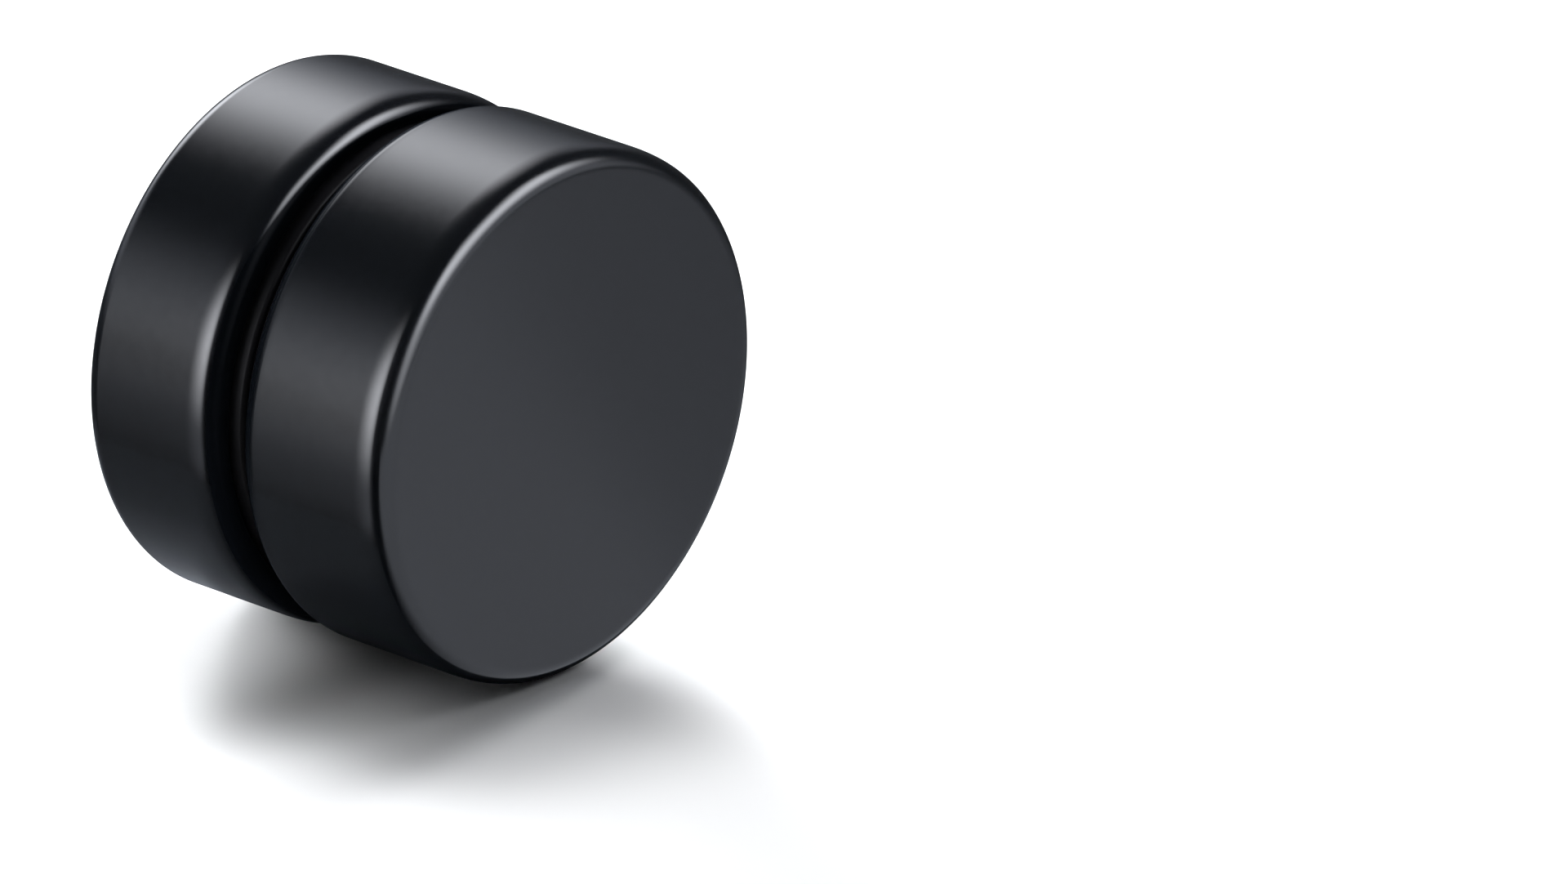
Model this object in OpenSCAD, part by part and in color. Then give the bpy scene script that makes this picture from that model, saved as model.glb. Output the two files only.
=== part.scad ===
// Magnetic stud earring: two round discs of one diameter that meet back to
// back across an ear lobe. Each disc is a turned steel cup with rounded rims
// and a flat outer face. A disc magnet is glued into the cup's pocket and
// stands a little proud of it, so that the magnets meet and the cups don't.
//
// The stud lies on its curved side, as it rests on a table. Its axis runs
// along Y, the display face looks towards -Y, and the origin is on the table
// under the middle of the stud.

/* [Discs] */
// Outer diameter of both discs
disc_d = 10; // [6:0.5:14]
// Thickness of the front disc, from its display face to its inner face
front_t = 3.5; // [2.4:0.1:6]
// Thickness of the back disc
back_t = 3.2; // [2.4:0.1:6]
// Radius of the rounded rims of both discs
rim_r = 0.4; // [0.1:0.05:0.8]

/* [Groove] */
// Distance between the inner faces of the closed discs
groove_w = 0.6; // [0.3:0.05:1.2]
// Air left between the two magnets when the stud is closed
meet_gap = 0.04; // [0.02:0.01:0.1]

/* [Cups] */
// Wall of the cup round its pocket
wall_t = 0.45; // [0.3:0.05:1]
// Flat ring left on the inner face between the rounded rim and the pocket
land_w = 0.05; // [0.02:0.01:0.15]
// Floor of the cup behind its flat face
floor_t = 0.9; // [0.8:0.05:1.3]

/* [Magnets] */
// Thickness of the glue round and under the magnet
glue_t = 0.05; // [0.02:0.01:0.1]
// Radius of the rounded edges of the magnet
magnet_edge_r = 0.1; // [0.04:0.02:0.2]

/* [Hidden] */

// Sides of a circle in previews
$fn = 128;
// How far a cut runs past the face that it opens
cut_over = 0.1;
// Turn that brings the start of each round surface to the top of the stud
seam_turn = -90;

outer_r = disc_d / 2;
pocket_r = outer_r - wall_t;
magnet_r = pocket_r - glue_t;
// Rim round the pocket's mouth, which leaves the flat ring free
mouth_rim_r = min(rim_r, wall_t - land_w);
// How far each magnet stands out of its cup
proud_t = (groove_w - meet_gap) / 2;
// Length of the closed stud along its axis
stud_l = front_t + groove_w + back_t;

// Black plating of the cups, darker skin of the magnets
cup_colour = [0.11, 0.11, 0.12];
magnet_colour = [0.05, 0.05, 0.055];

// Half section of a round disc that stands on z = 0, with both rims rounded
module disc_section(r, t, low_rim, high_rim) {
    square([r - max(low_rim, high_rim), t]);
    square([r - low_rim, t / 2]);
    translate([0, t / 2]) square([r - high_rim, t / 2]);
    translate([0, low_rim]) square([r, t - low_rim - high_rim]);
    translate([r - low_rim, low_rim]) circle(low_rim);
    translate([r - high_rim, t - high_rim]) circle(high_rim);
}

// Cup with its flat face on z = 0 and its pocket open upwards at z = t
module cup(t) {
    difference() {
        rotate_extrude() disc_section(outer_r, t, rim_r, mouth_rim_r);
        translate([0, 0, floor_t])
            cylinder(r = pocket_r, h = t - floor_t + cut_over);
    }
}

// Magnet in a cup of thickness t, drawn in that cup's own place
module magnet(t) {
    seat_z = floor_t + glue_t;
    translate([0, 0, seat_z])
        rotate_extrude()
            disc_section(magnet_r, t + proud_t - seat_z, magnet_edge_r, magnet_edge_r);
}

// Lays a half of the stud on its curved side, its flat face towards -Y
module in_front() {
    translate([0, -stud_l / 2, outer_r]) rotate([-90, seam_turn, 0]) children();
}

// Lays a half of the stud on its curved side, its flat face towards +Y
module behind() {
    translate([0, stud_l / 2, outer_r]) rotate([90, seam_turn, 0]) children();
}

module front_cup() {
    color(cup_colour) in_front() cup(front_t);
}

module front_magnet() {
    color(magnet_colour) in_front() magnet(front_t);
}

module back_magnet() {
    color(magnet_colour) behind() magnet(back_t);
}

module back_cup() {
    color(cup_colour) behind() cup(back_t);
}

front_cup();
front_magnet();
back_magnet();
back_cup();
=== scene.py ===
# %% [markdown]
# # A black magnetic stud earring
#
# This earring needs no hole in the ear. A front disc is worn before the lobe and a back disc
# behind it, and two strong little magnets pull them together through the skin. Here the stud
# lies closed on a white table, on its curved side, with its flat display face half turned to
# the camera. The object is only four turned pieces, so its look depends on three things: true
# rounded rims, a clean black finish, and softboxes in the right places. A glossy black surface
# has almost no colour of its own. What we see on it is mostly the room.

# %% Load the frame
import math
from collections import namedtuple

import bpy
import numpy as np
from mathutils import Matrix, Vector


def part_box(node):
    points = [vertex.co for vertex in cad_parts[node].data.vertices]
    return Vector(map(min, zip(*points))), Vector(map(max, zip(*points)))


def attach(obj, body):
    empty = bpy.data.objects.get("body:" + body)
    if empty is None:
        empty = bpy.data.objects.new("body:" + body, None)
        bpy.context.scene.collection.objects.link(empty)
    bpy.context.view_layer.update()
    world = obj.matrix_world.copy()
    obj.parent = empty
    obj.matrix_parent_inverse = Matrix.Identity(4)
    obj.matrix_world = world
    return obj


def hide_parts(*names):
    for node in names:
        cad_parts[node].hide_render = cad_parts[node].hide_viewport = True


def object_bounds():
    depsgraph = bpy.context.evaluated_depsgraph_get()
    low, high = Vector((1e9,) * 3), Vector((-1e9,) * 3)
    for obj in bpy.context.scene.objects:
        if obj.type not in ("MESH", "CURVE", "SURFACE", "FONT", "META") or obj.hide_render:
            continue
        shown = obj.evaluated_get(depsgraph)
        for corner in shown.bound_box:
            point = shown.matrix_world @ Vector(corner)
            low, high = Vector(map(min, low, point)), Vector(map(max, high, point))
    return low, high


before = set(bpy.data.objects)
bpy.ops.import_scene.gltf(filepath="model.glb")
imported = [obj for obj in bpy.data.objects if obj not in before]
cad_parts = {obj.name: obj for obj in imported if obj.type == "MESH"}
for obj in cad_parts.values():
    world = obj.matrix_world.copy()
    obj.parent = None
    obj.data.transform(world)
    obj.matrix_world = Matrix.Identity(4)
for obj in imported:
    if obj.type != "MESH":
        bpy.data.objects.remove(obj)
cad_low, cad_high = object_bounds()
MM = 0.001

# %% [markdown]
# ## Measure the frame
#
# The construction drawing came in as four plain solids. Every place that we need can be read
# from their boxes: the axis runs along Y at half the height, each disc starts at its flat face,
# and each magnet starts under its glue. Reading sizes keeps the looks and the drawing together
# when a size changes. Only what a box can't tell, such as a rim's radius, is written here again.

# %% Sizes read from the boxes
front_low, front_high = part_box("front_cup")
back_low, back_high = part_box("back_cup")
front_magnet_low, front_magnet_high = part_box("front_magnet")
back_magnet_low, back_magnet_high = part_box("back_magnet")

axis_height = cad_high.z / 2
disc_radius = axis_height
magnet_radius = front_magnet_high.z - axis_height
front_thickness = front_high.y - front_low.y
back_thickness = back_high.y - back_low.y
print(f"disc radius {disc_radius / MM:.2f} mm, magnet radius {magnet_radius / MM:.2f} mm")
print(f"discs {front_thickness / MM:.2f} and {back_thickness / MM:.2f} mm thick")

# %% Sizes that a box can't tell
rim_radius = 0.38 * MM
glue_thickness = 0.05 * MM
floor_thickness = 0.9 * MM
magnet_edge_radius = 0.1 * MM
edge_break = 0.02 * MM
pocket_radius = magnet_radius + glue_thickness
print(f"rims of {rim_radius / MM:.2f} mm, pocket radius {pocket_radius / MM:.2f} mm")

# %% [markdown]
# ## Draw the profiles
#
# A lathe turns a disc from a bar, and its shape is one line from the middle of the flat face,
# round the rims and back to the middle. We draw the same line as a list of points, each a radius
# and a depth behind the flat face. Straight stretches get points that crowd together near their
# ends. Without that, the smooth shading of a rounded rim would leak far over the flat face and
# bend its reflection.
#
# A rim that was only turned is a plain arc. A polished one opens up towards the wall, because the
# soft wheel wears the corner down first. It shows: on a plain arc a light draws a hair line, and
# on an eased rim it draws a stroke that starts softly on the wall and ends sharply.

# %% Straight and round stretches
def straight(start, end, steps=16):
    """Points from start to end, both (radius, depth). The share of the way grows as half of one
    minus the cosine of an angle from 0 to 180 degrees, which crowds the points at both ends."""
    share = (1 - np.cos(np.linspace(0, math.pi, steps + 1))) / 2
    return np.outer(1 - share, start) + np.outer(share, end)


def rounding(centre, radius, from_deg, to_deg, steps=24):
    """Points on an arc round centre. Angle 0 points away from the axis and 90 deeper into the
    disc, so the radius grows with the cosine of the angle and the depth with its sine."""
    angle = np.radians(np.linspace(from_deg, to_deg, steps + 1))
    return np.array(centre) + radius * np.column_stack([np.cos(angle), np.sin(angle)])


def joined(*stretches):
    """One profile from several stretches, with the point that two neighbours share kept once."""
    kept = [stretches[0]] + [stretch[1:] for stretch in stretches[1:]]
    return np.vstack(kept)


# %% The rim's curve
SOFT, TIGHT = 8.0, 0.0
ease_angle = math.radians(16)
EASE_STEPS, ARC_STEPS = 32, 30


def eased_rim(ease):
    """Points of a rim, from the wall to the flat, each (inwards, along the axis) from its start.
    The radius of curvature is rim_radius, and it grows towards the wall: within ease_angle of it,
    it is rim_radius times one plus ease times the square of the share of that angle still to go.
    The short steps are summed up by the midpoint rule."""
    angle = np.concatenate([
        np.linspace(0, ease_angle, EASE_STEPS + 1),
        np.linspace(ease_angle, math.pi / 2, ARC_STEPS + 1)[1:]])
    middle, turn = (angle[1:] + angle[:-1]) / 2, np.diff(angle)
    to_go = np.clip(1 - middle / ease_angle, 0, 1)
    curvature_radius = rim_radius * (1 + ease * to_go**2)
    inwards = np.concatenate([[0], np.cumsum(curvature_radius * np.sin(middle) * turn)])
    along = np.concatenate([[0], np.cumsum(curvature_radius * np.cos(middle) * turn)])
    return np.column_stack([inwards, along])


for label, ease in (("soft", SOFT), ("tight", TIGHT)):
    reach_in, reach_along = eased_rim(ease)[-1] / MM
    print(f"{label} rim: {reach_in:.3f} mm inwards and {reach_along:.3f} mm along the wall")

# %% [markdown]
# ## The two kinds of profile
#
# A cup is closed at its flat face and open at the other end. Its wall ends in a second rounded
# rim, and behind that rim the pocket drops straight to the cup's floor. The pocket's own edge is
# broken by a hair, as a deburring tool leaves it. The picture shows soft strokes of light on the
# rim of the display face and on the back disc's rim next to the groove, so these two are eased
# and the others stay plain arcs. A magnet is a plain disc with small rounded edges on both sides.

# %% Cup profile
def cup_profile(thickness, face_ease, mouth_ease):
    """Line from the middle of the flat face to the middle of the pocket's floor. The depth is 0
    on the flat face, the radius is disc_radius on the wall, the mouth's rim is level with the
    thickness, and the pocket goes down at pocket_radius to a depth of floor_thickness."""
    r, inner = disc_radius, pocket_radius
    rim, mouth_rim = eased_rim(face_ease), eased_rim(mouth_ease)
    wall_start, wall_end = rim[-1, 1], thickness - mouth_rim[-1, 1]
    return joined(
        straight((0, 0), (r - rim[-1, 0], 0), steps=24),
        (np.array([r, wall_start]) - rim)[::-1],
        straight((r, wall_start), (r, wall_end)),
        np.array([r, wall_end]) + mouth_rim * [-1, 1],
        straight((r - mouth_rim[-1, 0], thickness), (inner + edge_break, thickness), steps=2),
        rounding((inner + edge_break, thickness - edge_break), edge_break, 90, 180, steps=4),
        straight((inner, thickness - edge_break), (inner, floor_thickness)),
        straight((inner, floor_thickness), (0, floor_thickness)),
    )


# %% Magnet profile
def magnet_profile(top_depth, bottom_depth):
    """Line from the middle of the face in the glue to the middle of the face that shows. The
    radius is magnet_radius on the wall, and both edges are quarter circles."""
    r, edge = magnet_radius, magnet_edge_radius
    return joined(
        straight((0, top_depth), (r - edge, top_depth)),
        rounding((r - edge, top_depth + edge), edge, -90, 0, steps=12),
        straight((r, top_depth + edge), (r, bottom_depth - edge)),
        rounding((r - edge, bottom_depth - edge), edge, 0, 90, steps=12),
        straight((r - edge, bottom_depth), (0, bottom_depth)),
    )


# %% [markdown]
# ## Turn a profile into a solid
#
# Blender has a Screw modifier for this, but the turning is one line of trigonometry, and done by
# hand it gives clean poles: the two ends of the profile lie on the axis and become one point
# each, with a fan of triangles. The round is cut into many more steps than in the drawing,
# because the rim's outline and its thin highlights show every corner.

# %% The lathe
TURN_STEPS = 288
SHARP_FROM = math.radians(35)


def turned(name, profile, face_y, inwards):
    """A closed solid of revolution round the stud's axis. At turn angle a, a profile point lies
    at x = radius times sine a, height = axis height minus radius times cosine a, and
    y = face_y plus inwards (1 or -1) times its depth. Where inwards is 1 the line runs the other
    way round, so the corners of each face are listed in reverse to make it point outwards."""
    rings = profile[1:-1]
    turn = np.linspace(0, 2 * math.pi, TURN_STEPS, endpoint=False)
    x = np.outer(rings[:, 0], np.sin(turn))
    z = axis_height - np.outer(rings[:, 0], np.cos(turn))
    y = np.repeat(face_y + inwards * rings[:, 1:2], TURN_STEPS, axis=1)
    points = np.stack([x, y, z], axis=-1).reshape(-1, 3)
    poles = [[0, face_y + inwards * depth, axis_height] for depth in profile[[0, -1], 1]]
    points = np.vstack([points, poles])

    ring_count = len(rings)
    here = np.arange(ring_count * TURN_STEPS).reshape(ring_count, TURN_STEPS)
    beside = np.roll(here, -1, axis=1)
    quads = np.stack([here[:-1], beside[:-1], beside[1:], here[1:]], axis=-1).reshape(-1, 4)
    first_pole, last_pole = len(points) - 2, len(points) - 1
    start_fan = np.column_stack([np.full(TURN_STEPS, first_pole), beside[0], here[0]])
    end_fan = np.column_stack([np.full(TURN_STEPS, last_pole), here[-1], beside[-1]])
    if inwards > 0:
        quads, start_fan, end_fan = quads[:, ::-1], start_fan[:, ::-1], end_fan[:, ::-1]

    mesh = bpy.data.meshes.new(name)
    faces = quads.tolist() + start_fan.tolist() + end_fan.tolist()
    mesh.from_pydata(points, [], faces)
    mesh.shade_smooth()
    mesh.set_sharp_from_angle(angle=SHARP_FROM)
    piece = bpy.data.objects.new(name, mesh)
    bpy.context.scene.collection.objects.link(piece)
    return piece


# %% A test of what was turned
def volume_mm3(piece):
    """Volume of a closed mesh: the sum, over its triangles, of a sixth of the box product of the
    three corners. It is positive if the faces point outwards."""
    mesh = piece.data
    mesh.calc_loop_triangles()
    corners = np.zeros(len(mesh.vertices) * 3)
    mesh.vertices.foreach_get("co", corners)
    corner_of = np.zeros(len(mesh.loop_triangles) * 3, np.int32)
    mesh.loop_triangles.foreach_get("vertices", corner_of)
    a, b, c = corners.reshape(-1, 3)[corner_of.reshape(-1, 3)].transpose(1, 0, 2)
    return float(np.einsum("ij,ij->i", a, np.cross(b, c)).sum() / 6 / MM**3)


# %% [markdown]
# ## The four pieces
#
# Each piece stands for the solid of the drawing that has its place, and rides on the same body,
# so the back disc comes away with its own magnet. The printed volumes are a quick test: they
# must be positive, or a mesh is inside out, and near those of the drawing.

# %% Front and back discs with their magnets
front_disc = turned("front_disc", cup_profile(front_thickness, SOFT, TIGHT), front_low.y, 1)
back_disc = turned("back_disc", cup_profile(back_thickness, TIGHT, SOFT), back_high.y, -1)
front_magnet_depths = (front_magnet_low.y - front_low.y, front_magnet_high.y - front_low.y)
back_magnet_depths = (back_high.y - back_magnet_high.y, back_high.y - back_magnet_low.y)
front_magnet_disc = turned(
    "front_magnet_disc", magnet_profile(*front_magnet_depths), front_low.y, 1)
back_magnet_disc = turned(
    "back_magnet_disc", magnet_profile(*back_magnet_depths), back_high.y, -1)

for piece, node, body in (
    (front_disc, "front_cup", "front"),
    (front_magnet_disc, "front_magnet", "front"),
    (back_magnet_disc, "back_magnet", "back"),
    (back_disc, "back_cup", "back"),
):
    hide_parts(node)
    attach(piece, body)
    print(f"{piece.name}: {len(piece.data.polygons)} faces, {volume_mm3(piece):.1f} mm3")

# %% [markdown]
# ## Painted shade in the groove
#
# The groove between the discs is plain black. The front disc's edge towards it catches no light,
# and the back disc's only one line, which thins out from the top downwards. Why it is so dark
# isn't clear. Here that shade is painted: the coat is made duller in the groove, so it takes
# almost no highlight. We write how much light each point is to get, from 0 to 1, into an
# attribute of the mesh, and the finish will read it. An attribute can follow the turned shape,
# which a noise or a box can't do well.

# %% Where a piece's points lie
def places(piece):
    """The x, y and z of a piece's points, in millimetres."""
    flat = np.zeros(len(piece.data.vertices) * 3)
    piece.data.vertices.foreach_get("co", flat)
    return flat.reshape(-1, 3).T / MM


def around_axis(x, z):
    """Distance from the axis in millimetres, and turn angle from the top in degrees, 0 to 180.
    They are the length of (x, height above the axis), and the angle whose tangent is the size of
    x over that height."""
    up = z - axis_height / MM
    return np.hypot(x, up), np.degrees(np.arctan2(np.abs(x), up))


# %% Where the painted shade starts
HAIR = 0.01
rim_middle = (disc_radius - eased_rim(SOFT)[-1, 0]) / MM


def write_light_reach(piece, light_reach, in_pocket):
    """Stores how much light each point is to get, kept between 0 and 1. Less than 1 is painted
    shade, and the pocket gets none at all.
    """
    light_reach = np.where(in_pocket, 0, np.clip(light_reach, 0, 1))
    attribute = piece.data.attributes.new("light_reach", "FLOAT", "POINT")
    attribute.data.foreach_set("value", light_reach.astype(np.float32))
    print(f"{piece.name}: {np.mean(light_reach < 0.5):.0%} of its points are dull")


# %% Painted groove shade on the front disc
# Lengths in millimetres, measured along the axis from the end of the disc that lies in the groove.
# Painted shade: the disc is dull for the first stretch from that end, then fades back to full
# gloss.
SHADED_LENGTH = 0.29
FADE_LENGTH = 0.13

x, y, z = places(front_disc)
radius, _ = around_axis(x, z)
from_mouth = front_high.y / MM - y
in_pocket = (radius < rim_middle - HAIR) & (y > front_low.y / MM + HAIR)
write_light_reach(front_disc, (from_mouth - SHADED_LENGTH) / FADE_LENGTH, in_pocket)

# %% Painted groove shade on the back disc
# Round the rim the angle is 0 at the wall and 90 at the mouth. LAST_BRIGHT_ANGLE says, for each
# turn from the top, how far round the rim the light reaches. Beyond it the shade is painted. All
# angles are in degrees.
TURN_FROM_TOP = (0, 24, 37, 49, 58)
LAST_BRIGHT_ANGLE = (68, 51, 42, 29, 23)
FADE_ANGLE = 6.0

x, y, z = places(back_disc)
radius, turn = around_axis(x, z)
from_mouth = y - back_low.y / MM
in_pocket = (radius < rim_middle - HAIR) & (y < back_high.y / MM - HAIR)
rim_angle = np.degrees(np.arctan2(rim_radius / MM - from_mouth, radius - rim_middle))
last_bright = np.interp(turn, TURN_FROM_TOP, LAST_BRIGHT_ANGLE)
write_light_reach(back_disc, 0.5 + (last_bright - rim_angle) / (2 * FADE_ANGLE), in_pocket)

# %% [markdown]
# ## Black plating
#
# The discs are steel under a hard black coat. Such a coat mirrors like lacquer: a few hundredths
# of the light come back as a clear reflection, more at a grazing angle, and nearly nothing comes
# from below. So the shader is a dielectric with a base that is almost black and slightly blue.
# A perfect coat would look like glass. The real one has a fine tooth from the steel under it,
# which spreads each reflection a little, and it drifts a little from place to place. Both come
# from noise that reads Object coordinates, so it stays put when the disc moves. In the groove the
# shade is painted: there the shader's specular level goes down, and the highlights with it.

# %% Helpers for node materials
def new_material(name):
    """An empty node material with its shader already wired to the output."""
    material = bpy.data.materials.new(name)
    material.use_nodes = True
    nodes = material.node_tree.nodes
    nodes.clear()
    output = nodes.new("ShaderNodeOutputMaterial")
    shader = nodes.new("ShaderNodeBsdfPrincipled")
    material.node_tree.links.new(shader.outputs["BSDF"], output.inputs["Surface"])
    return material, material.node_tree, shader


def noise(tree, scale_per_mm, detail=3.0, roughness=0.5):
    """Noise in the piece's own space, with scale_per_mm blobs to a millimetre."""
    place = tree.nodes.new("ShaderNodeTexCoord")
    texture = tree.nodes.new("ShaderNodeTexNoise")
    texture.inputs["Scale"].default_value = scale_per_mm / MM
    texture.inputs["Detail"].default_value = detail
    texture.inputs["Roughness"].default_value = roughness
    tree.links.new(place.outputs["Object"], texture.inputs["Vector"])
    return texture.outputs["Fac"]


NOISE_LOW, NOISE_HIGH = 0.3, 0.7


def between(tree, factor, low, high):
    """A value that goes evenly from low to high as the factor crosses the range that most of a
    noise keeps to, and stays at low or high beyond it."""
    spread = tree.nodes.new("ShaderNodeMapRange")
    spread.inputs["From Min"].default_value = NOISE_LOW
    spread.inputs["From Max"].default_value = NOISE_HIGH
    spread.inputs["To Min"].default_value = low
    spread.inputs["To Max"].default_value = high
    tree.links.new(factor, spread.inputs["Value"])
    return spread.outputs["Result"]


def mixed_colour(tree, factor, first, second):
    """A colour that goes evenly from first to second, both linear RGB."""
    mix = tree.nodes.new("ShaderNodeMix")
    mix.data_type = "RGBA"
    mix.inputs["A"].default_value = (*first, 1)
    mix.inputs["B"].default_value = (*second, 1)
    tree.links.new(factor, mix.inputs["Factor"])
    return mix.outputs["Result"]


# %% The coat of the two discs
COAT_DARKER, COAT_PALER = (0.0026, 0.0034, 0.0048), (0.0034, 0.0045, 0.0062)
COAT_ROUGHNESS = (0.16, 0.19)
COAT_IOR = 1.5
# Specular levels of the coat: the low one paints the shade in the groove.
SHADED_GLOSS, FULL_GLOSS = 0.01, 0.5
TOOTH_HEIGHT, TOOTH_STRENGTH = 0.002 * MM, 0.05


def gloss_from_light_reach(tree):
    """Goes evenly from a low specular level that paints shade, where the shade attribute is 0, to
    FULL_GLOSS at 1.
    """
    light_reach = tree.nodes.new("ShaderNodeAttribute")
    light_reach.attribute_name = "light_reach"
    gloss = tree.nodes.new("ShaderNodeMath")
    gloss.operation = "MULTIPLY_ADD"
    gloss.inputs[1].default_value = FULL_GLOSS - SHADED_GLOSS
    gloss.inputs[2].default_value = SHADED_GLOSS
    tree.links.new(light_reach.outputs["Fac"], gloss.inputs[0])
    return gloss.outputs["Value"]


def black_plating():
    """Nearly black and slightly blue, with a clear reflection that is weakened where shade is
    painted in the groove.
    """
    material, tree, shader = new_material("black_plating")
    clouds = between(tree, noise(tree, scale_per_mm=0.25, detail=2.0), 0, 1)
    colour = mixed_colour(tree, clouds, COAT_DARKER, COAT_PALER)
    tree.links.new(colour, shader.inputs["Base Color"])
    roughness = between(tree, noise(tree, scale_per_mm=6.0, detail=4.0), *COAT_ROUGHNESS)
    tree.links.new(roughness, shader.inputs["Roughness"])
    shader.inputs["IOR"].default_value = COAT_IOR
    tree.links.new(gloss_from_light_reach(tree), shader.inputs["Specular IOR Level"])
    tooth = tree.nodes.new("ShaderNodeBump")
    tooth.inputs["Strength"].default_value = TOOTH_STRENGTH
    tooth.inputs["Distance"].default_value = TOOTH_HEIGHT
    tree.links.new(noise(tree, scale_per_mm=25.0, detail=2.0), tooth.inputs["Height"])
    tree.links.new(tooth.outputs["Normal"], shader.inputs["Normal"])
    return material


# %% [markdown]
# ## Dark nickel
#
# Magnets of this kind are plated with black nickel against rust. Nobody polishes it, so it is
# duller than the discs' coat, and so thin that the cloudy base shows. It gets the same recipe
# with a rougher surface and a weaker reflection. At rest only a thin grey band of it can be seen
# at the bottom of the groove, but pulled apart the two faces show.

# %% The skin of the two magnets
NICKEL_DARKER, NICKEL_PALER = (0.003, 0.003, 0.0035), (0.006, 0.006, 0.007)
NICKEL_ROUGHNESS = (0.38, 0.5)
NICKEL_IOR = 1.18


def dark_nickel():
    """Dark grey in soft clouds, with a weak and blurred reflection."""
    material, tree, shader = new_material("dark_nickel")
    clouds = between(tree, noise(tree, scale_per_mm=0.6, detail=2.0), 0, 1)
    colour = mixed_colour(tree, clouds, NICKEL_DARKER, NICKEL_PALER)
    tree.links.new(colour, shader.inputs["Base Color"])
    roughness = between(tree, noise(tree, scale_per_mm=4.0, detail=3.0), *NICKEL_ROUGHNESS)
    tree.links.new(roughness, shader.inputs["Roughness"])
    shader.inputs["IOR"].default_value = NICKEL_IOR
    return material


# %% Finishes on the pieces
plating = black_plating()
magnet_skin = dark_nickel()
for piece in (front_disc, back_disc):
    piece.data.materials.append(plating)
for piece in (front_magnet_disc, back_magnet_disc):
    piece.data.materials.append(magnet_skin)
for material in (plating, magnet_skin):
    print(f"{material.name}: {len(material.node_tree.nodes)} nodes")

# %% [markdown]
# ## The white table
#
# The stud lies on a smooth white board. The board is dull, so it shows no mirror image, and it is
# lit until it is past white. All that is left to see of it is the shadow. One large level sheet
# is enough for it. It reaches past the softboxes, and behind its edge the world is white too.

# %% Helpers for sheets
def grid_piece(name, points, steps):
    """An object from a square grid of points, listed row by row. Each face joins a point with the
    next one in its row and with the two after them in the next row."""
    here = np.arange((steps + 1) ** 2).reshape(steps + 1, steps + 1)
    quads = np.stack([here[:-1, :-1], here[:-1, 1:], here[1:, 1:], here[1:, :-1]], axis=-1)
    mesh = bpy.data.meshes.new(name)
    mesh.from_pydata(points, [], quads.reshape(-1, 4).tolist())
    piece = bpy.data.objects.new(name, mesh)
    bpy.context.scene.collection.objects.link(piece)
    return piece


def sheet(name, low, high, height, steps):
    """A level sheet: an even grid of points between two corners (x, y), all at one height. The
    x and y of the points come back too, in millimetres, for what is painted on the sheet."""
    x, y = (part.ravel() for part in np.meshgrid(
        np.linspace(low[0], high[0], steps + 1), np.linspace(low[1], high[1], steps + 1)))
    points = np.column_stack([x, y, np.full_like(x, height)])
    return grid_piece(name, points, steps), x / MM, y / MM


# %% Board
BOARD_HALF = 0.8

board, _, _ = sheet("board", (-BOARD_HALF, -BOARD_HALF), (BOARD_HALF, BOARD_HALF), 0, steps=8)
board_material, board_tree, board_shader = new_material("white_board")
board_shader.inputs["Roughness"].default_value = 1.0
board_shader.inputs["Specular IOR Level"].default_value = 0.0
board.data.materials.append(board_material)
print(f"the board is {2 * BOARD_HALF:.1f} m wide")

# %% [markdown]
# ## Deepen the shadow
#
# Picture editors often deepen a product's shadow by hand, because a black thing on a white ground
# seems to float otherwise. Here the board itself does it: a soft grey smudge is painted on it
# under the stud, and a fainter one before the display face. The lights make the board nearly
# twice as bright as white, so the thin outer part of the paint is lost in the open, and only the
# shade gets deeper.

# %% One smudge
Smudge = namedtuple("Smudge", "x_mm y_mm spread_x_mm spread_y_mm depth")


def smudge_tone(tree, smudge):
    """One minus the smudge's depth times a bell curve, exp(-d^2 / 2), where d is the distance from
    the smudge's middle, counted in spreads along x and along y."""
    place = tree.nodes.new("ShaderNodeTexCoord")
    shift = tree.nodes.new("ShaderNodeMapping")
    wide, long = 1 / (smudge.spread_x_mm * MM), 1 / (smudge.spread_y_mm * MM)
    shift.inputs["Scale"].default_value = (wide, long, 0)
    shift.inputs["Location"].default_value = (
        -smudge.x_mm * MM * wide, -smudge.y_mm * MM * long, 0)
    tree.links.new(place.outputs["Object"], shift.inputs["Vector"])
    squared = tree.nodes.new("ShaderNodeVectorMath")
    squared.operation = "DOT_PRODUCT"
    tree.links.new(shift.outputs["Vector"], squared.inputs[0])
    tree.links.new(shift.outputs["Vector"], squared.inputs[1])
    halved = tree.nodes.new("ShaderNodeMath")
    halved.operation = "MULTIPLY"
    halved.inputs[1].default_value = -0.5
    tree.links.new(squared.outputs["Value"], halved.inputs[0])
    bell = tree.nodes.new("ShaderNodeMath")
    bell.operation = "EXPONENT"
    tree.links.new(halved.outputs["Value"], bell.inputs[0])
    tone = tree.nodes.new("ShaderNodeMath")
    tone.operation = "MULTIPLY_ADD"
    tone.inputs[1].default_value = -smudge.depth
    tone.inputs[2].default_value = 1.0
    tree.links.new(bell.outputs["Value"], tone.inputs[0])
    return tone.outputs["Value"]


# %% Both smudges on the board
SMUDGES = (
    Smudge(-2.35, -0.6, 3.1, 1.0, 0.58),
    Smudge(-0.35, -5.45, 0.95, 1.75, 0.18),
)
BOARD_WHITE = 0.9

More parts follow.
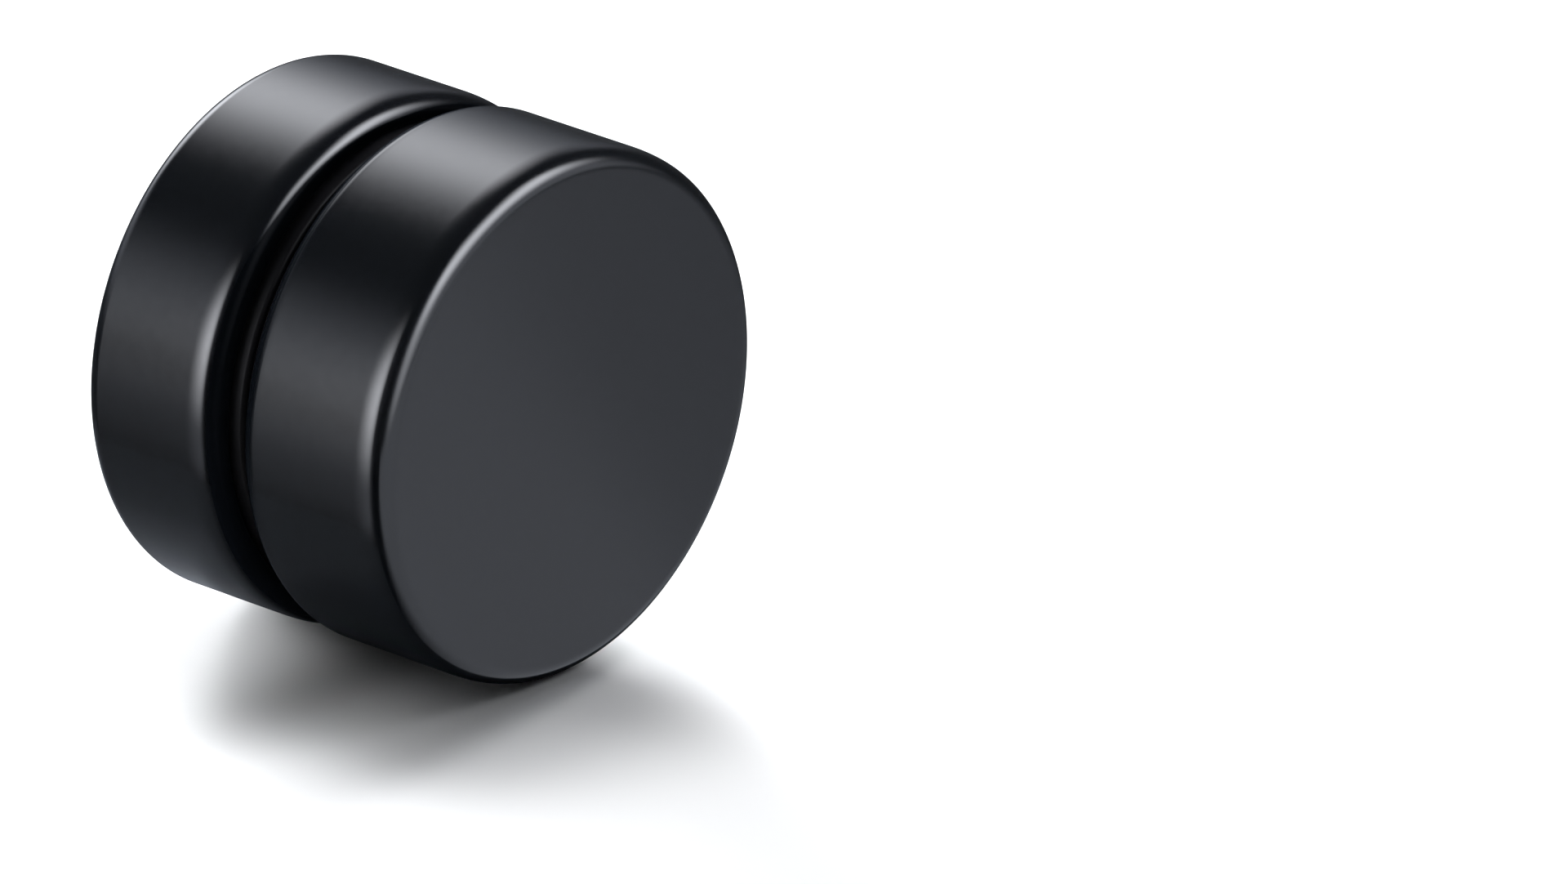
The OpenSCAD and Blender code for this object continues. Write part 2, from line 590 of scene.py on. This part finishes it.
board_tone = board_tree.nodes.new("ShaderNodeMath")
board_tone.operation = "MULTIPLY"
for socket, smudge in zip(board_tone.inputs, SMUDGES):
    board_tree.links.new(smudge_tone(board_tree, smudge), socket)
board_white = board_tree.nodes.new("ShaderNodeMath")
board_white.operation = "MULTIPLY"
board_white.inputs[1].default_value = BOARD_WHITE
board_tree.links.new(board_tone.outputs["Value"], board_white.inputs[0])
board_tree.links.new(board_white.outputs["Value"], board_shader.inputs["Base Color"])
print(f"{len(SMUDGES)} smudges, the deepest takes {max(s.depth for s in SMUDGES):.0%} of the light")

# %% [markdown]
# ## Camera
#
# The view comes from a fit of both discs' outlines: the camera looks at the stud from the left of
# its display face and from 22.5 degrees above the board, through a long lens. The stud's middle
# and radius on the picture fix the aim and the focal length.

# %% Where the camera looks
photo_width = 1920
photo_height = 1082
azimuth = math.radians(-48.23)
elevation = math.radians(22.51)
radius_on_photo = 339.9
stud_on_photo = (515.0, 451.1)

back = Vector((math.sin(azimuth) * math.cos(elevation),
               -math.cos(azimuth) * math.cos(elevation), math.sin(elevation)))
right = Vector((math.cos(azimuth), math.sin(azimuth), 0))
up = back.cross(right)
size_of_pixel = disc_radius / radius_on_photo
aim = Vector((0, 0, axis_height))
aim += right * (photo_width / 2 - stud_on_photo[0]) * size_of_pixel
aim -= up * (photo_height / 2 - stud_on_photo[1]) * size_of_pixel
print(f"one pixel of the picture is {size_of_pixel / MM:.4f} mm wide")

# %% Camera
camera_distance = 73 * disc_radius
sensor_width = 36.0

camera_data = bpy.data.cameras.new("camera")
camera_data.sensor_width = sensor_width
camera_data.lens = radius_on_photo * camera_distance / disc_radius / photo_width * sensor_width
camera_data.clip_start = 0.01
camera_data.clip_end = 5
camera = bpy.data.objects.new("camera", camera_data)
bpy.context.scene.collection.objects.link(camera)
turn_to_stud = Matrix((right, up, back)).transposed()
camera.matrix_world = Matrix.Translation(aim + back * camera_distance) @ turn_to_stud.to_4x4()
bpy.context.scene.camera = camera
print(f"lens {camera_data.lens:.1f} mm at {camera_distance:.3f} m")

# %% [markdown]
# ## Softboxes
#
# A picture of a glossy black thing is made with two sets of lights. One set lights the board and
# draws the shadow. The other set is there to be mirrored: each softbox becomes one soft bright
# band on the plating, and the dark gaps between the bands give the round its shape. Blender can
# keep a light to one of these jobs, so each set is placed freely.
#
# A softbox is brightest in its middle. Each one is a piece of a large sphere round the stud, given
# by the compass angle of its middle (0 along +X, 90 along +Y), its height angle and half of its
# extent both ways, all in degrees.

# %% A finish that glows
def glow_material(name, radiance, tint, clear):
    """Light whose strength is the radiance times the piece's own attribute called glow. If it is
    clear, what lies behind it shows through, so the light of pieces that overlap adds up."""
    material = bpy.data.materials.new(name)
    material.use_nodes = True
    tree = material.node_tree
    tree.nodes.clear()
    output = tree.nodes.new("ShaderNodeOutputMaterial")
    emission = tree.nodes.new("ShaderNodeEmission")
    emission.inputs["Color"].default_value = (*tint, 1)
    glow = tree.nodes.new("ShaderNodeAttribute")
    glow.attribute_name = "glow"
    times = tree.nodes.new("ShaderNodeMath")
    times.operation = "MULTIPLY"
    times.inputs[1].default_value = radiance
    tree.links.new(glow.outputs["Fac"], times.inputs[0])
    tree.links.new(times.outputs["Value"], emission.inputs["Strength"])
    if not clear:
        tree.links.new(emission.outputs["Emission"], output.inputs["Surface"])
        return material
    behind = tree.nodes.new("ShaderNodeBsdfTransparent")
    both = tree.nodes.new("ShaderNodeAddShader")
    tree.links.new(emission.outputs["Emission"], both.inputs[0])
    tree.links.new(behind.outputs["BSDF"], both.inputs[1])
    tree.links.new(both.outputs["Shader"], output.inputs["Surface"])
    return material


# %% One job for each light
def show_only_to(piece, job):
    """Keeps a piece of the stage for one job: light for the board, or an image in the plating."""
    piece.visible_camera = False
    piece.visible_shadow = False
    piece.visible_transmission = False
    piece.visible_diffuse = job == "board"
    piece.visible_glossy = job == "mirror"


def add_glow(piece, glow, radiance, tint, job, clear=True):
    """Gives a piece its glow. A light that is only mirrored isn't sampled as a lamp, since the
    rays that leave the plating find it by themselves."""
    attribute = piece.data.attributes.new("glow", "FLOAT", "POINT")
    attribute.data.foreach_set("value", glow.astype(np.float32))
    material = glow_material(piece.name, radiance, tint, clear)
    material.cycles.emission_sampling = "FRONT_BACK" if job == "board" else "NONE"
    piece.data.materials.append(material)
    show_only_to(piece, job)


# %% One softbox
SOFTBOX_DISTANCE = 0.6


def faded(share, feather):
    """1 in the middle, and half a cosine wave down to 0 over the outer part, called feather."""
    way_in = np.clip((1 - np.abs(share)) / feather, 0, 1)
    return (1 - np.cos(math.pi * way_in)) / 2


Softbox = namedtuple(
    "Softbox",
    "name job compass height half_width half_height feather_across feather_up radiance tint")


def add_softbox(box, steps=24):
    """Part of a sphere: each point lies at its compass and height angle. Its glow is the product
    of two fades, one across and one upwards."""
    share = np.linspace(-1, 1, steps + 1)
    across, upwards = (part.ravel() for part in np.meshgrid(share, share))
    compass = np.radians(box.compass + across * box.half_width)
    height = np.radians(box.height + upwards * box.half_height)
    points = SOFTBOX_DISTANCE * np.column_stack([
        np.cos(height) * np.cos(compass), np.cos(height) * np.sin(compass), np.sin(height)])
    glow = faded(across, box.feather_across) * faded(upwards, box.feather_up)
    piece = grid_piece(box.name, points, steps)
    add_glow(piece, glow, box.radiance, box.tint, box.job)


# %% All softboxes
FAINTLY_COOL = (0.988, 1.0, 1.018)
COOL = (0.98, 1.0, 1.06)
COOLER = (0.95, 1.0, 1.12)
SOFTBOXES = (
    Softbox("low_strip", "board", 77, 6, 34, 5, 1.0, 1.0, 250, FAINTLY_COOL),
    Softbox("overhead", "board", 60, 70, 72, 20, 1.0, 1.0, 17, FAINTLY_COOL),
    Softbox("side", "board", 5.5, 39, 6, 9, 1.0, 1.0, 90, FAINTLY_COOL),
    Softbox("front_side", "board", 315, 46, 18, 32, 1.0, 1.0, 3.3, FAINTLY_COOL),
    Softbox("back_post", "board", 58, 10.5, 6, 24, 1.0, 1.0, 265, FAINTLY_COOL),
    Softbox("key", "mirror", 67, 32, 32, 26, 1.0, 1.0, 7.8, COOL),
    Softbox("key_halo", "mirror", 105, 19, 104, 23, 1.0, 1.0, 0.95, COOLER),
    Softbox("left_strip", "mirror", 155, 12, 17, 34, 1.0, 1.0, 9.0, COOL),
    Softbox("left_low", "mirror", 155, -20, 30, 22, 1.0, 0.6, 0.75, COOLER),
    Softbox("front_right", "mirror", 285, 44, 59, 30, 0.5, 1.0, 10.4, COOL),
    Softbox("front_low", "mirror", 250, 15, 28, 32, 1.0, 1.0, 3.2, COOL),
    Softbox("front_fill", "mirror", 277, 24, 62, 36, 0.4, 0.5, 1.3, COOLER),
)
for box in SOFTBOXES:
    add_softbox(box)
for job in ("board", "mirror"):
    print(f"{sum(box.job == job for box in SOFTBOXES)} softboxes for the {job}")

# %% [markdown]
# ## What the plating sees of the table
#
# In the picture's mirror images the table is a dull grey, a little paler under the back disc, and
# only the part before the display face is bright. So the white board is hidden from the plating,
# which sees a grey board instead, with the same shadow on it, and a glowing card before the
# display face. The card is brightest on the left and drops in soft steps to the right, which
# gives the flat face its two tones.

# %% Grey board
# Places and lengths that end in _MM are in millimetres.
# The pale grey is painted light on the board, and the dark grey partly painted shade.
DARK_GREY = (0.078, 0.083, 0.092)
PALE_GREY = (0.15, 0.16, 0.178)
GREY_HALF_WIDTH, GREY_END = 9 * MM, 12 * MM
GREY_BEFORE_FACE = 0.3 * MM
GREY_HEIGHT = 0.005 * MM
PALE_FROM_X_MM, PALE_FADE_X_MM = -5.5, 3
PALE_FROM_Y_MM, PALE_FADE_Y_MM = 1, 2.5

board.visible_glossy = False
grey_low = (-GREY_HALF_WIDTH, front_low.y - GREY_BEFORE_FACE)
grey_high = (GREY_HALF_WIDTH, GREY_END)
grey_board, x, y = sheet("grey_board", grey_low, grey_high, GREY_HEIGHT, steps=36)
show_only_to(grey_board, "mirror")
# Painted light and shade: the grey board is paler behind the back disc, where the table is lit, and
# darker before it, where the stud's shade falls.
paler_to_the_right = np.clip((x - PALE_FROM_X_MM) / PALE_FADE_X_MM, 0, 1)
paler_to_the_back = np.clip((y - PALE_FROM_Y_MM) / PALE_FADE_Y_MM, 0, 1)
pale = paler_to_the_right * paler_to_the_back
painted_lit_share = grey_board.data.attributes.new("painted_lit_share", "FLOAT", "POINT")
painted_lit_share.data.foreach_set("value", pale.astype(np.float32))
print(f"{np.mean(pale > 0.5):.0%} of the grey board is pale")

# %% Finish of the grey board
grey_material, grey_tree, grey_shader = new_material("grey_board")
read_painted_lit_share = grey_tree.nodes.new("ShaderNodeAttribute")
read_painted_lit_share.attribute_name = "painted_lit_share"
grey_colour = mixed_colour(grey_tree, read_painted_lit_share.outputs["Fac"], DARK_GREY, PALE_GREY)
grey_tree.links.new(grey_colour, grey_shader.inputs["Base Color"])
grey_shader.inputs["Roughness"].default_value = 1.0
grey_shader.inputs["Specular IOR Level"].default_value = 0.0
grey_board.data.materials.append(grey_material)

# %% Glowing card
# Places are in millimetres. The card's own left and front are turned against the board, and each
# is a direction (x, y) with the place where its count starts.
LEFT, LEFT_START = (-0.84, -0.545), (9.5, -11.7)
FRONT, FRONT_START = (0.54, -0.84), (-4.5, -3.65)
FRONT_FADE_MM = 2
STEP_PLACES = (-30, -12, -4, -0.8, 1.4, 5, 14)
STEP_GLOWS = (0.1, 0.3, 0.56, 0.59, 0.83, 0.86, 1.2)
CARD_HEIGHT = 0.02 * MM


def along(direction, start, x, y):
    """How far points lie from the start, counted along a direction: the product of the way in x
    with the direction's x, plus the same in y."""
    return (x - start[0]) * direction[0] + (y - start[1]) * direction[1]


card_low, card_high = (-40 * MM, -100 * MM), (60 * MM, front_low.y)
card, x, y = sheet("card", card_low, card_high, CARD_HEIGHT, steps=120)
step_glow = np.interp(along(LEFT, LEFT_START, x, y), STEP_PLACES, STEP_GLOWS)
card_glow = step_glow * np.clip(along(FRONT, FRONT_START, x, y) / FRONT_FADE_MM, 0, 1)
add_glow(card, card_glow, 1.0, COOLER, "mirror", clear=False)
print(f"the card glows from {card_glow.min():.2f} to {card_glow.max():.2f}")

# %% [markdown]
# ## The room
#
# Past the board's edge the camera sees the world, which is white like the board. The plating
# sees a nearly dark room there, so that the gaps between the softboxes are dark but not dead. No
# light of the room falls on the board, or it would wash out the shadow. A Light Path node tells
# the rays apart: one output is 1 for camera rays, another for glossy rays, and else they are 0.

# %% World
ROOM_GLOW = 0.05
world = bpy.data.worlds.new("studio")
world.use_nodes = True
bpy.context.scene.world = world
world_tree = world.node_tree
background = world_tree.nodes["Background"]
background.inputs["Color"].default_value = (1, 1, 1, 1)
ray = world_tree.nodes.new("ShaderNodeLightPath")
level = world_tree.nodes.new("ShaderNodeMath")
level.operation = "MULTIPLY_ADD"
level.inputs[1].default_value = ROOM_GLOW
world_tree.links.new(ray.outputs["Is Glossy Ray"], level.inputs[0])
world_tree.links.new(ray.outputs["Is Camera Ray"], level.inputs[2])
world_tree.links.new(level.outputs["Value"], background.inputs["Strength"])
print(f"the plating sees a room of {ROOM_GLOW:.0%} white")

# %% [markdown]
# ## Finish
#
# The Standard view leaves the colours as they are, with a plain cut at white. A filmic view would
# turn the white ground grey.

# %% View
bpy.context.scene.view_settings.view_transform = "Standard"
